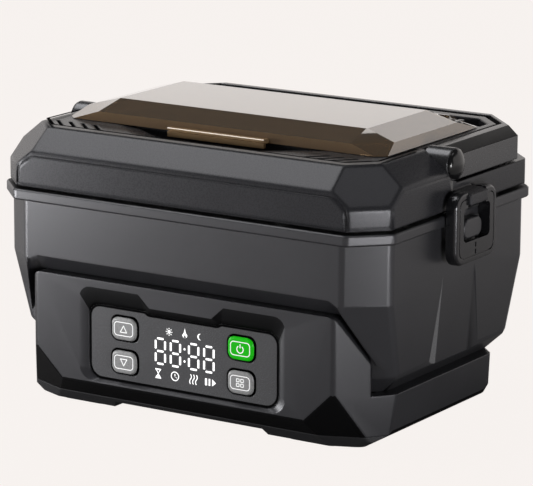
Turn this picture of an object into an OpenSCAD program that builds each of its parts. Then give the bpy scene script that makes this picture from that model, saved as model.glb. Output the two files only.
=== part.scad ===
// Electric lunch box: a heated tub on a control base, with a lift-off faceted
// lid, a tinted flip-up cover on the lid, a folding carry handle and two side
// latches. Millimetres, +Z up, front towards -Y, origin on the floor under the
// middle of the tub's rim.

/* [Tub] */
// Width over the rim of the tub
rim_w = 250; // [240:1:262]
// Depth over the rim of the tub
rim_d = 183.3; // [178:0.1:192]
// Cut across each corner of the rim
rim_corner = 18.75; // [14:0.25:22]
// Height of the rim's top face above the floor
rim_z = 120; // [117:0.5:126]
// Height of the rim band
rim_h = 6; // [4:0.5:8]
// Radius of the rim's rounded corners
rim_soft = 5; // [2:0.5:7]
// Step in from the rim to the tub's front and back walls
wall_step = 3.8; // [2.5:0.1:5]
// Step in from the rim to the tub's side walls
side_step = 2.8; // [2:0.1:4]
// Wall thickness of the moulded shells
wall = 2.5; // [2:0.1:3]
// Radius of the rounded edges between the tub's faces
tub_soft = 7; // [2:0.5:9]
// Cut across each corner of the tub, along its front and back
tub_corner = 20.7; // [18:0.1:23]
// Cut across each corner of the tub, along its sides
tub_corner_d = 17; // [15:0.1:20]
// Depth below the rim at which the walls start to lean in
lean_drop = 39; // [34:1:42]
// Lean of the lower walls from upright, in degrees
side_lean = 3.4; // [2:0.1:4.5]
// Lean of the lower corner facets from upright, in degrees
corner_lean = 14.4; // [11:0.1:16]
// Height of the slanted band under the tub's edge
band_h = 9; // [7:0.1:10]
// Step in from the tub's side to the top of the arch in the front wall
arch_step = 23.7; // [22.7:0.5:32.2]
// Drop from the rim to the top of the arch
arch_drop = 36.5; // [34:0.5:42]
// Drop of the arch's sloping sides for each millimetre outwards
arch_slope = 2.8; // [2.4:0.1:3.4]
// Depth of the tapered recess between the ribs, at its foot
rib_depth = 1.6; // [0.8:0.1:2]
// Half width of the tapered recess
rib_half = 17; // [12:0.5:20]

/* [Base] */
// Height of the ledge that the tub's lower edge rests on
ledge_z = 29.6; // [27:0.2:31]
// Step in from the tub's side wall to the base's side wall
base_step = 4.6; // [3.6:0.1:5.9]
// Step in from the tub's front wall to the base's front wall
base_front_step = 1.85; // [1:0.05:3]
// Lean of the base's sides from upright, in degrees
base_lean = 5.5; // [3:0.1:7]
// Cut across the front corners of the base, along its front
base_corner = 21.3; // [18:0.1:24]
// Cut across the front corners of the base, along its sides
base_corner_d = 30; // [26:0.2:33]
// Step in from the tub's back wall to the base's back wall
base_back_step = 11.8; // [10:0.1:16]
// Cut across the back corners of the base
base_back_corner = 30; // [24:0.5:34]
// Drop of the base's sloping cheeks for each millimetre outwards
cheek_slope = 2.2; // [1.9:0.1:2.6]
// Height of the joint between the housing and the bottom cover
split_z = 7.6; // [7:0.2:9]
// Height of the feet's sole above the floor
sole_z = 1.5; // [1:0.1:2]
// Height of the hollow between the feet above their soles
foot_h = 3.4; // [2.5:0.1:4]
// Half width of the hollow between the feet
foot_gap = 51; // [44:1:56]
// Radius of the rounded edges between the base's faces
base_soft = 5; // [2:0.5:7]

/* [Controls] */
// Half width of the control pocket at the front face
pocket_half = 66.5; // [64:0.5:72]
// Height of the control pocket's top edge above the floor
pocket_top = 70; // [68:0.5:71.5]
// Height of the control pocket's bottom edge above the floor
pocket_bottom = 17.2; // [16.6:0.2:18.4]
// Half width of the panel
panel_half = 61.2; // [59:0.2:62]
// Width of a button
button_w = 16.4; // [14:0.2:18]
// Height of a button
button_h = 12.6; // [11:0.2:14]
// Distance of each column of buttons from the middle
button_x = 37.7; // [35:0.1:42]
// Height of the lower buttons' middle above the floor
button_z = 30.2; // [29:0.2:31]
// Distance between the upper and lower buttons
button_pitch = 18.7; // [17.2:0.1:20]
// Gap round a button
button_gap = 1.1; // [0.6:0.1:1.3]
// Travel of a button
button_travel = 1; // [0.6:0.1:1.4]

/* [Lid] */
// Gap between the rim and the lid
lid_gap = 1.5; // [1:0.1:2]
// Step in from the rim to the lid's wall
lid_step = 2; // [1:0.1:3]
// Cut across each corner of the lid
lid_corner = 17.6; // [14:0.1:20]
// Height of the lid's top face above the rim
lid_h = 33; // [31:0.5:36]
// Height of the front crease above the rim
front_crease = 21; // [18:0.5:24]
// Height of the side creases above the rim
side_crease = 21.5; // [19:0.5:24]
// Height of the lower end of the corner facets above the rim
corner_crease = 13.5; // [10:0.5:16]
// Depth of the slanted front facet, seen from above
front_slant = 15.2; // [12:0.2:16]
// Width of the slanted side facets, seen from above
side_slant = 14; // [11:0.2:15]
// Step in from the rim's side to the lid between the handle's arms
core_step = 19.5; // [18.5:0.5:22]
// Step in from the rim's back to the back of the lid inside the handle
core_back_step = 7.15; // [6.15:0.5:8.65]
// Cut across the back corners of the lid inside the handle
core_corner = 15.5; // [13:0.5:17]
// Height above the rim of the skirt that runs under the handle
skirt_h = 15.2; // [13:0.2:15.6]
// Depth of the compartment under the cover
well_depth = 15; // [10:0.5:17]
// Step in from the cover's side to the compartment
well_step = 10; // [8:1:18]
// Number of vent slots at each front corner
vent_count = 4; // [2:1:4]
// Spacing of the vent slots
vent_pitch = 8.35; // [7:0.05:8.7]
// Width of a vent slot
vent_w = 2.2; // [1.4:0.1:3]
// Length of a vent slot
vent_len = 15; // [9:0.5:15.5]
// Radius of the rounded edges between the lid's faces
lid_soft = 6; // [2:0.5:8]

/* [Cover] */
// Step in from the side of the lid inside the handle to the cover
cover_step = 3.5; // [3:0.5:6.5]
// Step in from the rim's front to the cover
cover_front_step = 44.15; // [43.65:0.5:45.65]
// Step in from the back of the lid inside the handle to the cover
cover_back_step = 27.5; // [27:0.5:30.5]
// Height of the cover's ridge above its foot
ridge_h = 5; // [4:0.25:7]
// Height of the cover's top above its foot
dome_h = 10; // [8:0.25:12]
// Thickness of the cover
cover_t = 2; // [1.5:0.1:2.5]
// Width of the cover's sloping sides, seen from above
dome_step = 22; // [18:0.5:32]
// Half width of the cover's front tab
tab_half = 31; // [24:0.5:34]
// Radius of the cover's hinge rod
rod_r = 1.5; // [1.2:0.1:1.8]

/* [Handle] */
// Distance behind the middle, negative towards the front, of the pivot
pivot_y = -6; // [-9:0.5:-4]
// Height of the pivot above the rim
pivot_h = 25.3; // [24.8:0.1:25.8]
// Radius of the handle's hubs
hub_r = 8.8; // [8:0.1:9]
// Gap between the lid's side and the handle's arms
arm_gap = 1.5; // [1:0.1:2.5]
// Thickness of the arms at their foot
arm_t = 15; // [13.5:0.25:15.5]
// How far the handle's back face stands out behind the rim
bar_out = 3.15; // [2.35:0.1:3.45]
// Thickness of the handle's crossbar
bar_t = 4.5; // [4:0.25:6]
// Cut across the handle's back corners
bail_corner = 31; // [28:0.5:33]
// Radius of the handle's pivot pins
pin_r = 2.5; // [2:0.1:3]
// Radius of the round caps over the pivots
cap_r = 8.2; // [7:0.1:8.4]

/* [Latches] */
// Width of a latch
latch_w = 44.6; // [38:0.2:48]
// Height of a latch
latch_h = 39.4; // [37:0.2:43]
// Height of a latch's top edge above the rim
latch_top = 12; // [11.8:0.1:12.8]
// Thickness of a latch
latch_t = 6.9; // [6.4:0.1:7.5]
// Half width of a latch's window
window_half = 14.3; // [12.5:0.1:15.5]
// Half width of the lid's hinge knuckle
knuckle_half = 9.5; // [7:0.1:10]
// Radius of a latch's hinge pin
latch_pin_r = 1.25; // [1:0.05:1.5]

/* [Inside] */
// Step in from the rim's side to the inner liner
liner_step = 21; // [20:0.5:25]
// Half of how much less deep the inner liner is than the rim
liner_step_d = 22.65; // [22.15:0.5:27.65]
// Distance of the liner's middle behind the tub's middle
liner_y = 5; // [4.5:0.1:6]
// Height of the liner's floor above the floor
liner_z = 40; // [38:0.5:42]
// Drop from the rim to the liner's step, where the food container hangs
step_drop = 12; // [10:0.5:14]
// Thickness of the liner's sheet
sheet = 1.2; // [0.8:0.1:1.6]

/* [Hidden] */
$fn = 48;

black = "#2c2c2e";
dark = "#232325";
steel = "#c4c6c8";
rubber_grey = "#1d1d1f";
// Gap between seated pieces and between sliding faces
slip = 0.3;
// Radial play of a pin in the piece that turns on it
play = 0.06;
// How far a cutting shape reaches past the solid it cuts
over = 1;
// Size of a cutting shape that is wider than the whole box
reach = 2 * rim_w;
// How much a corner cut shrinks for each millimetre of inset
corner_k = 2 - sqrt(2);
// Points on each rounded corner of an outline
arc_steps = 5;

tub_x = rim_w / 2 - side_step;
tub_y = rim_d / 2 - wall_step;
arch_half = tub_x - arch_step;
liner_half = rim_w / 2 - liner_step;
liner_half_d = rim_d / 2 - liner_step_d;
liner_r = 22;
lean_z = rim_z - lean_drop;
skirt_z = ledge_z + band_h + 1;
lean_run = lean_z - skirt_z;
low_x = tub_x - lean_run * tan(side_lean);
low_y = tub_y - lean_run * tan(side_lean);
low_corner_in = lean_run * tan(corner_lean);
arch_z = rim_z - arch_drop;
// Front face of the tub's pocket for the control housing
pocket_back = liner_y - liner_half_d - wall - 1.5;

base_x = tub_x - base_step;
base_f = tub_y - base_front_step;
base_b = tub_y - base_back_step;
// Half width of the base where its sides meet the bottom cover
base_low_x = base_x - (ledge_z - split_z) * tan(base_lean);
cheek_z = arch_z - band_h - slip;
cheek_half = base_x - base_corner;
undercut_z = pocket_bottom - 1.9;
panel_lap = 2;
panel_y = wall - base_f;
panel_t = 2;
board_y = panel_y + 6.1;
board_t = 1.6;
hole_w = button_w + 2 * button_gap;
hole_h = button_h + 2 * button_gap;
inlet_z = 18;

lid_x = rim_w / 2 - lid_step;
lid_y = rim_d / 2 - lid_step;
lid_z = rim_z + lid_gap;
top_z = rim_z + lid_h;
notch_z = rim_z + skirt_h;
hub_z = rim_z + pivot_h;
core_half = rim_w / 2 - core_step;
core_back = rim_d / 2 - core_back_step;
cover_half = core_half - cover_step;
cover_front = rim_d / 2 - cover_front_step;
cover_back = core_back - cover_back_step;
well_half = cover_half - well_step;
well_front = cover_front - 11.5;
well_back = cover_back - 7;
well_z = top_z - well_depth;
recess_front = cover_back + 0.6;
recess_back = core_back - 6.3;
recess_z = top_z - 7;
inner_z = lid_z + 0.6;
inner_t = 2.2;

rod_y = cover_back + 6;
rod_z = top_z - 2.4;
barrel_r = rod_r + 1.9;
cover_z = top_z + slip;

arm_in = core_half + arm_gap;
arm_out = arm_in + arm_t;
bar_back = rim_d / 2 + bar_out;
bar_in = bar_back - bar_t;

knuckle_x = rim_w / 2 + 9;
latch_x = rim_w / 2 + 0.7;
latch_front = latch_x + latch_t;
latch_pin_x = latch_x + 3.3;
latch_pin_z = rim_z + 8;
latch_mid_z = rim_z + latch_top - latch_h / 2;
window_top = rim_z + 3.4;
window_bottom = rim_z - 15.3;
catch_top = rim_z - 3.7;
catch_bottom = window_bottom + 0.4;
catch_half = knuckle_half + 0.3;
catch_x = latch_front - 2.2;

step_z = rim_z - step_drop;
step_in = 4;
container_gap = 1;
container_half = liner_half - step_in - sheet - container_gap;
container_half_d = liner_half_d - step_in - sheet - container_gap;
container_sheet = 0.8;
container_r = liner_r - 2;
container_z = liner_z + sheet + 4;
container_rim_half = liner_half - sheet - 0.8;
container_rim_half_d = liner_half_d - sheet - 0.8;
plate_z = liner_z - 4;

// ---- outlines ----

// Eight-sided outline with its own front and back corner cuts, anticlockwise
function oct2(x, yf, yb, cf, cb) = [
    [x - cf, -yf], [x, cf - yf], [x, yb - cb], [x - cb, yb],
    [cb - x, yb], [-x, yb - cb], [-x, cf - yf], [cf - x, -yf]
];
function oct(x, y, c) = oct2(x, y, y, c, c);

// Rounds each corner i of an outline with an arc of radius r[i]
function arc_at(a, b, c, r) =
    let (
        u = (a - b) / norm(a - b),
        v = (c - b) / norm(c - b),
        half = acos(max(-1, min(1, u * v))) / 2,
        mid = (u + v) / norm(u + v),
        centre = b + mid * r / sin(half),
        from = b + u * r / tan(half) - centre,
        to = b + v * r / tan(half) - centre,
        start = atan2(from[1], from[0]),
        turn = atan2(from[0] * to[1] - from[1] * to[0], from * to)
    )
    [for (i = [0 : arc_steps]) centre + r * [cos(start + turn * i / arc_steps), sin(start + turn * i / arc_steps)]];
function rounded(pts, r) = [
    for (i = [0 : len(pts) - 1])
        each arc_at(pts[(i + len(pts) - 1) % len(pts)], pts[i], pts[(i + 1) % len(pts)], r[i])
];
function rect(x0, x1, y0, y1) = [[x1, y0], [x1, y1], [x0, y1], [x0, y0]];
function round_rect(x0, x1, y0, y1, r) = rounded(rect(x0, x1, y0, y1), [r, r, r, r]);

function level(pts, z) = [for (p = pts) [p[0], p[1], z]];
function front_ring(pts, y) = [for (p = pts) [p[0], y, p[1]]];
function side_ring(pts, x) = [for (p = pts) [x, p[0], p[1]]];

// Closed solid through rings of equally many points, from the lowest ring up
module loft(rings) {
    n = len(rings[0]);
    m = len(rings);
    points = [for (ring = rings) each ring];
    sides = [
        for (j = [0 : m - 2], i = [0 : n - 1])
            [j * n + i, (j + 1) * n + i, (j + 1) * n + (i + 1) % n, j * n + (i + 1) % n]
    ];
    foot = [[for (i = [0 : n - 1]) i]];
    head = [[for (i = [n - 1 : -1 : 0]) (m - 1) * n + i]];
    polyhedron(points = points, faces = concat(foot, sides, head), convexity = 4);
}

module prism(pts, z0, z1)
    translate([0, 0, z0]) linear_extrude(z1 - z0) polygon(pts);

// Everything between two heights
module slab(z0, z1)
    translate([-reach / 2, -reach / 2, z0]) cube([reach, reach, z1 - z0]);

// The rim's outline, its corners rounded, moved inwards by e
function rim_ring(e, z) =
    let (r = rim_soft - e)
    level(rounded(oct(rim_w / 2 - e, rim_d / 2 - e, rim_corner - corner_k * e), [r, r, r, r, r, r, r, r]), z);

// Eight-sided plate with its upper and lower edges cut by e
module chamfered(x, y, c, z0, z1, e)
    loft([
        level(oct(x - e, y - e, c - corner_k * e), z0), level(oct(x, y, c), z0 + e),
        level(oct(x, y, c), z1 - e), level(oct(x - e, y - e, c - corner_k * e), z1)
    ]);

// Outline in X and Z, extruded from y0 back to y1
module front_prism(pts, y0, y1)
    translate([0, y1, 0]) rotate([90, 0, 0]) linear_extrude(y1 - y0) polygon(pts);

// Outline in Y and Z, extruded from x0 to x1
module side_prism(pts, x0, x1)
    translate([x0, 0, 0]) rotate([90, 0, 90]) linear_extrude(x1 - x0) polygon(pts);

// A face as its outward direction and its distance from the origin. It runs
// through p, faces azimuth az and leans down by tilt.
function face(p, az, tilt = 0) =
    let (n = [cos(az) * cos(tilt), sin(az) * cos(tilt), -sin(tilt)])
    [n, n * p];

// Faces that round the edge between faces a and b with radius r
steps = 4;
function edge_faces(a, b, r) = [
    for (i = [1 : steps - 1])
        let (s = i / steps, n = a[0] * (1 - s) + b[0] * s, k = norm(n))
        [n / k, (a[1] * (1 - s) + b[1] * s + r * (k - 1)) / k]
];

// Faces and the roundings between those that meet at between 9 and 62 degrees
function softened(faces, r) = concat(faces, [
    for (i = [1 : len(faces) - 1], j = [0 : i - 1])
        let (meet = faces[i][0] * faces[j][0])
        if (r > 0 && meet > cos(62) && meet < cos(9)) each edge_faces(faces[i], faces[j], r)
]);

// Solid behind all of the faces, each moved inwards by t
module behind(faces, t) {
    intersection_for (f = faces)
        translate(f[0] * (f[1] - t)) rotate([0, acos(f[0][2]), atan2(f[0][1], f[0][0])])
            translate([-reach / 2, -reach / 2, -reach]) cube(reach);
}

module slot_shape(length, w) {
    square([length - w, w], center = true);
    for (s = [-1, 1]) translate([s * (length - w) / 2, 0]) circle(d = w);
}

module rod_x(x0, x1, y, z, r)
    translate([x0, y, z]) rotate([0, 90, 0]) cylinder(r = r, h = x1 - x0);

module rod_y(y0, y1, x, z, r)
    translate([x, y0, z]) rotate([-90, 0, 0]) cylinder(r = r, h = y1 - y0);

module rod_z(x, y, z0, z1, r)
    translate([x, y, z0]) cylinder(r = r, h = z1 - z0);

module both_sides() {
    children();
    mirror([1, 0, 0]) children();
}

// ---- tub ----

// Outline of the arch, drop below its top and widened by t
function arch(drop, t) =
    let (
        top = arch_z - drop + t * sqrt(2),
        a = arch_half + drop / arch_slope + t * sqrt(1 + 1 / (arch_slope * arch_slope)) - t * sqrt(2) / arch_slope,
        foot = a + (top + over) / arch_slope
    )
    rounded([[foot, -over], [a, top], [-a, top], [-foot, -over]], [1, 7, 7, 1]);

// Space of the control housing in the tub's front, with a slanted top edge
module arch_space(t) {
    loft([
        front_ring(arch(band_h, t), pocket_back + t),
        front_ring(arch(band_h, t), band_h - tub_y),
        front_ring(arch(0, t), -tub_y),
        front_ring(arch(0, t), -tub_y - 20)
    ]);
}

module tub_form(t, z0, z1) {
    cx = tub_x - tub_corner / 2;
    cy = tub_y - tub_corner_d / 2;
    sides = [
        for (az = [0, 180])
            each [
                face([tub_x * cos(az), 0, 0], az),
                face([tub_x * cos(az), 0, lean_z], az, side_lean),
                face([low_x * cos(az), 0, skirt_z], az, 45)
            ]
    ];
    ends = [
        face([0, -tub_y, 0], -90), face([0, tub_y, 0], 90),
        face([0, tub_y, lean_z], 90, side_lean), face([0, low_y, skirt_z], 90, 45)
    ];
    corners = [
        for (sx = [-1, 1], sy = [-1, 1])
            let (az = atan2(sy * tub_corner, sx * tub_corner_d), edge = [sx * cx, sy * cy, 0])
            each [
                face(edge, az),
                face(edge + [0, 0, lean_z], az, corner_lean),
                face(edge + [-low_corner_in * cos(az), -low_corner_in * sin(az), skirt_z], az, 45)
            ]
    ];
    difference() {
        intersection() {
            behind(softened(concat(sides, ends, corners), t > 0 ? 0 : tub_soft), t);
            translate([-tub_x, -tub_y, z0]) cube([2 * tub_x, 2 * tub_y, z1 - z0]);
        }
        arch_space(t);
    }
}

// Shallow recess between the two ribs of a side wall, deeper towards its foot
module rib_recess() {
    out = 3;
    spread = 11;
    z0 = skirt_z - 6;
    z1 = lean_z + 6;
    x0 = low_x - 6 * tan(side_lean);
    deep = x0 - rib_depth * (z1 - z0) / (z1 - skirt_z);
    wide = rib_half + spread;
    polyhedron(
        points = [
            [deep, -rib_half, z0], [x0, -wide, z0], [x0 + out, -wide, z0],
            [x0 + out, wide, z0], [x0, wide, z0], [deep, rib_half, z0],
            [tub_x, -rib_half, z1], [tub_x + out, -rib_half, z1],
            [tub_x + out, rib_half, z1], [tub_x, rib_half, z1]
        ],
        faces = [
            [0, 1, 2, 3, 4, 5], [0, 6, 1], [1, 6, 7, 2], [2, 7, 8, 3],
            [3, 8, 9, 4], [4, 9, 5], [5, 9, 6, 0], [9, 8, 7, 6]
        ]
    );
}

module catch_boss() {
    edge = 0.9;
    r = 4.5;
    outline = round_rect(-catch_half, catch_half, catch_bottom, catch_top, r);
    small = round_rect(edge - catch_half, catch_half - edge, catch_bottom + edge, catch_top - edge, r - edge);
    loft([
        side_ring(outline, tub_x - wall / 2),
        side_ring(outline, catch_x - edge),
        side_ring(small, catch_x)
    ]);
}

module liner_outline(grow) {
    offset_r = liner_r + grow;
    hull_x = liner_half + grow;
    hull_y = liner_half_d + grow;
    translate([0, liner_y]) {
        square([2 * (hull_x - offset_r), 2 * hull_y], center = true);
        square([2 * hull_x, 2 * (hull_y - offset_r)], center = true);
        for (sx = [-1, 1], sy = [-1, 1])
            translate([sx * (hull_x - offset_r), sy * (hull_y - offset_r)]) circle(r = offset_r, $fn = 64);
    }
}

module tub_shell() {
    deck = 3;
    edge = 0.8;
    color(black) {
        difference() {
            union() {
                tub_form(0, ledge_z, rim_z - rim_h + 0.01);
                loft([
                    rim_ring(edge, rim_z - rim_h), rim_ring(0, rim_z - rim_h + edge),
                    rim_ring(0, rim_z - edge), rim_ring(edge, rim_z)
                ]);
            }
            tub_form(wall, ledge_z - over, rim_z - deck);
            translate([0, 0, rim_z - deck - over]) linear_extrude(deck + 2 * over) liner_outline(0.4);
            both_sides() rib_recess();
        }
        both_sides() catch_boss();
    }
}

// ---- base ----

function cheek(t) =
    let (
        top = cheek_z - t,
        a = cheek_half - t * (sqrt(1 + 1 / (cheek_slope * cheek_slope)) - 1 / cheek_slope),
        foot = a + top / cheek_slope
    )
    rounded([[foot, 0], [a, top], [-a, top], [-foot, 0]], [1, 6, 6, 1]);

module base_form(t, back) {
    cut = base_back_corner / 2;
    faces = concat(
        [
            face([0, -base_f, 0], -90), face([0, -base_f, undercut_z], -90, 36),
            face([0, base_b, 0], 90), face([0, base_b, split_z + 2], 90, 45)
        ],
        [
            for (sx = [-1, 1])
                let (az = sx < 0 ? 180 : 0)
                each [
                    face([sx * base_x, 0, ledge_z], az, base_lean), face([sx * base_low_x, 0, split_z], az, 60),
                    face([sx * (base_x - base_corner / 2), base_corner_d / 2 - base_f, 0],
                        az - sx * atan2(base_corner, base_corner_d)),
                    face([sx * cheek_half, -base_f, undercut_z + 18], az - sx * 68, 21.2),
                    face([sx * (base_x - cut), base_b - cut, 0], az + sx * 45),
                    face([sx * (base_x - cut), base_b - cut, split_z + 3], az + sx * 45, 45)
                ]
        ]
    );
    intersection() {
        behind(softened(faces, t > 0 ? 0 : base_soft), t);
        union() {
            translate([-base_x, -base_f, sole_z + t]) cube([2 * base_x, base_f + base_b, ledge_z - sole_z - 2 * t]);
            intersection() {
                translate([-base_x, -base_f, sole_z + t]) cube([2 * base_x, 2 * base_f, cheek_z - sole_z - 2 * t]);
                front_prism(cheek(t), -base_f - over, back);
            }
        }
    }
}

// Outline of the control pocket, with the dip in its top edge
function pocket(half, top, bottom, dip_top, dip_foot, dip_z, r) =
    rounded(
        [[half, bottom], [half, top], [dip_top, top], [dip_foot, dip_z],
         [-dip_foot, dip_z], [-dip_top, top], [-half, top], [-half, bottom]],
        [r, r - 1, 1, 1, 1, 1, r - 1, r]
    );
function pocket_mouth() = pocket(pocket_half, pocket_top, pocket_bottom, 27.5, 20, pocket_top - 6.9, 8);
function panel_edge(grow) =
    pocket(panel_half + grow, pocket_top - 9.6 + grow, pocket_bottom + 1.4 - grow,
        24.5 - grow, 22.3 - grow, pocket_top - 11 + grow, 8 + grow);

board_half = panel_half + 9;
board_screw_x = panel_half + 6.6;
board_low = pocket_bottom + 3;
board_high = pocket_top - 10;
screw_x = base_x - 22;
screw_front = 30 - base_f;
screw_back = base_b - 40;

module at_bottom_screws()
    for (x = [-screw_x, screw_x], y = [screw_front, screw_back]) translate([x, y, 0]) children();

module base_housing() {
    rib_t = 2;
    boss_r = 3.6;
    boss_top = ledge_z - wall - 2;
    lip = 9.4;
    lip_x = 11.5;
    color(black) {
        difference() {
            union() {
                difference() {
                    base_form(0, pocket_back - slip);
                    base_form(wall, pocket_back + over);
                    // Mouth into the tub, inside the ledge that the tub's lower edge rests on
                    intersection() {
                        prism(oct2(base_x - lip_x, base_f, base_b - lip, base_corner_d - 4, base_back_corner - 4),
                            ledge_z - 2 * wall, ledge_z + over);
                        translate([-base_x, pocket_back, 0]) cube([2 * base_x, 2 * base_f, ledge_z + 2]);
                    }
                }
                // Bosses for the control board
                for (sx = [-1, 1], z = [board_low + 3.5, board_high - 3.5])
                    rod_y(panel_y - 0.5, board_y, sx * board_screw_x, z, 2.8);
                // Bosses for the bottom screws, each with a rib to the wall
                at_bottom_screws() {
                    rod_z(0, 0, split_z, boss_top, boss_r);
                }
                both_sides() for (y = [screw_front, screw_back])
                    translate([screw_x, y - rib_t / 2, split_z])
                        cube([base_low_x - wall / 2 - screw_x, rib_t, boss_top - split_z]);
            }
            slab(-over, split_z);
            loft([front_ring(panel_edge(0), panel_y + 0.01), front_ring(pocket_mouth(), -base_f - 0.01)]);
            at_bottom_screws() rod_z(0, 0, split_z - over, boss_top - 2, 1.5);
            // Hole for the power inlet
            front_prism(round_rect(-13.2, 13.2, inlet_z - 7.2, inlet_z + 7.2, 3), base_b - wall - over, base_b + over);
        }
    }
}

module bottom_cover() {
    foot_front = 50 - base_f;
    foot_back = base_b - 46;
    hollow_z = sole_z + foot_h;
    color(dark) difference() {
        intersection() {
            base_form(0, pocket_back - slip);
            slab(0, split_z);
        }
        // Hollow between the feet, a cross with slanted ends
        front_prism([[foot_gap, 0], [foot_gap - foot_h, hollow_z], [foot_h - foot_gap, hollow_z],
            [-foot_gap, 0]], -reach / 2, reach / 2);
        side_prism([[foot_front, 0], [foot_front + foot_h, hollow_z], [foot_back - foot_h, hollow_z],
            [foot_back, 0]], -reach / 2, reach / 2);
        at_foot_pads() translate([0, 0, sole_z - over]) linear_extrude(over + 1) pad_outline(0.15);
        at_bottom_screws() {
            rod_z(0, 0, 0, sole_z + 3, 3.6);
            rod_z(0, 0, 0, split_z + over, 1.7);
        }
    }
}

pad_x = base_x - 43.5;
pad_w = 32;
pad_d = 11;
module at_foot_pads()
    for (x = [-pad_x, pad_x], y = [19.5 - base_f, base_b - 22]) translate([x, y, 0]) children();
module pad_outline(grow) slot_shape(pad_w + 2 * grow, pad_d + 2 * grow);

module foot_pads() {
    color(rubber_grey) at_foot_pads() linear_extrude(sole_z + 1) pad_outline(0);
}

module bottom_screws() {
    color(steel) at_bottom_screws() {
        difference() {
            rod_z(0, 0, sole_z + 0.8, sole_z + 3, 3.1);
            translate([0, 0, sole_z]) linear_extrude(1.9) for (a = [0, 90]) rotate(a) square([3.6, 0.9], center = true);
        }
        rod_z(0, 0, sole_z + 2.9, ledge_z - wall - 5, 1.45);
    }
}

// ---- controls ----

module at_buttons(column, row)
    translate([column * button_x, 0, button_z + row * button_pitch]) children();

function button_outline(w, h, r) = round_rect(-w / 2, w / 2, -h / 2, h / 2, r);

module control_panel() {
    color(black) difference() {
        front_prism(panel_edge(panel_lap), panel_y, panel_y + panel_t);
        for (column = [-1, 1], row = [0, 1])
            at_buttons(column, row)
                front_prism(button_outline(hole_w, hole_h, 4.6), panel_y - over, panel_y + panel_t + over);
    }
}

// A crowned key with a flange behind the panel
module button(column, row) {
    crown = 1.4;
    proud = 1.5;
    flange_y = panel_y + panel_t + 0.15;
    flange_t = 0.8;
    edge = button_outline(button_w, button_h, 4);
    top = button_outline(button_w - 2 * crown, button_h - 2 * crown, 4 - crown);
    at_buttons(column, row) {
        loft([
            front_ring(edge, flange_y + 0.2),
            front_ring(edge, panel_y - proud + 0.8),
            front_ring(top, panel_y - proud)
        ]);
        front_prism(button_outline(hole_w + 1.8, hole_h + 1.8, 5), flange_y, flange_y + flange_t);
    }
}

module button_up() color(black) button(-1, 1);
module button_down() color(black) button(-1, 0);
module button_power() color(black) button(1, 1);
module button_menu() color(black) button(1, 0);

module key_mat() {
    dome_y = panel_y + panel_t + 0.95 + button_travel + 0.15;
    color("#7a7d80") for (column = [-1, 1]) {
        translate([column * button_x - 9, board_y - 0.8, button_z - 7]) cube([18, 0.8, button_pitch + 14]);
        for (row = [0, 1]) at_buttons(column, row) rod_y(dome_y, board_y - 0.5, 0, 0, 3.5);
    }
}

module display_module() {
    half_w = 25;
    color("#101114") translate([-half_w, panel_y + panel_t, button_z - 8])
        cube([2 * half_w, board_y - panel_y - panel_t, button_pitch + 16]);
}

module control_board() {
    color("#1f5a36") difference() {
        front_prism(rect(-board_half, board_half, board_low, board_high), board_y, board_y + board_t);
        for (sx = [-1, 1], z = [board_low + 3.5, board_high - 3.5])
            rod_y(board_y - over, board_y + board_t + over, sx * board_screw_x, z, 1.2);
    }
}

// ---- power inlet and electronics ----

module power_inlet() {
    depth = 11;
    y1 = base_b + 0.4;
    color(rubber_grey) difference() {
        union() {
            front_prism(round_rect(-13, 13, inlet_z - 7, inlet_z + 7, 3), y1 - 16, y1);
            // Lugs behind the wall
            translate([-16, base_b - wall - 2, inlet_z - 5]) cube([32, 2, 10]);
        }
        translate([0, y1 - depth, inlet_z]) rotate([-90, 0, 0]) linear_extrude(depth + over) slot_shape(20, 9);
        for (s = [-1, 1]) rod_y(y1 - 17, y1 - depth + over, s * 4.3, inlet_z, 1.2);
    }
}

module inlet_pins() {
    y1 = base_b + 0.4;
    color(steel) for (s = [-1, 1]) rod_y(y1 - 20, y1 - 2.5, s * 4.3, inlet_z, 1.15);
}

power_board_z = 13;
power_board_t = 1.6;
power_board_half = 32;
power_board_half_d = 40;
power_board_x = power_board_half - base_x + 29.5;
power_board_y = 8;
module power_board() {
    color("#1f5a36") {
        translate([power_board_x - power_board_half, power_board_y - power_board_half_d, power_board_z])
            cube([2 * power_board_half, 2 * power_board_half_d, power_board_t]);
        // Standoffs down to the bottom cover
        for (sx = [-1, 1], sy = [-1, 1])
            rod_z(power_board_x + sx * (power_board_half - 4), power_board_y + sy * (power_board_half_d - 6),
                split_z, power_board_z + 0.01, 3);
    }
}

module on_board(x, y) translate([power_board_x + x, power_board_y + y, power_board_z + power_board_t]) children();

module relay() color("#1b3f8a") on_board(-20, -22) translate([-9, -8, 0]) cube([18, 16, 11]);
module capacitor() color("#30343a") on_board(18, -20) cylinder(r = 6.5, h = 12);
module transformer() {
    color("#caa53d") on_board(4, 16) translate([-12, -11, 0]) cube([24, 22, 12]);
}

// ---- liner, heater and food container ----

module liner_solid(grow, z0, z1)
    translate([0, 0, z0]) linear_extrude(z1 - z0) liner_outline(grow);

module inner_liner() {
    color("#9a9da1") difference() {
        union() {
            liner_solid(6, rim_z, rim_z + 0.9);
            liner_solid(0, step_z - sheet, rim_z + 0.1);
            liner_solid(-step_in, liner_z, step_z);
        }
        liner_solid(-sheet, step_z, rim_z + over);
        liner_solid(-step_in - sheet, liner_z + sheet, step_z + over);
    }
}

plate_half = liner_half - 29;
plate_half_d = liner_half_d - 15;
sensor_r = 7;
module heating_plate() {
    color("#b7babd") difference() {
        prism(round_rect(-plate_half, plate_half, liner_y - plate_half_d, liner_y + plate_half_d, 12), plate_z, liner_z);
        rod_z(0, liner_y, plate_z - over, liner_z + over, sensor_r + 2);
    }
}

module heating_element() {
    color("#6d6f72") translate([0, liner_y, plate_z - 3]) rotate_extrude()
        translate([plate_half_d - 12, 0]) circle(r = 3, $fn = 24);
}

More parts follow.
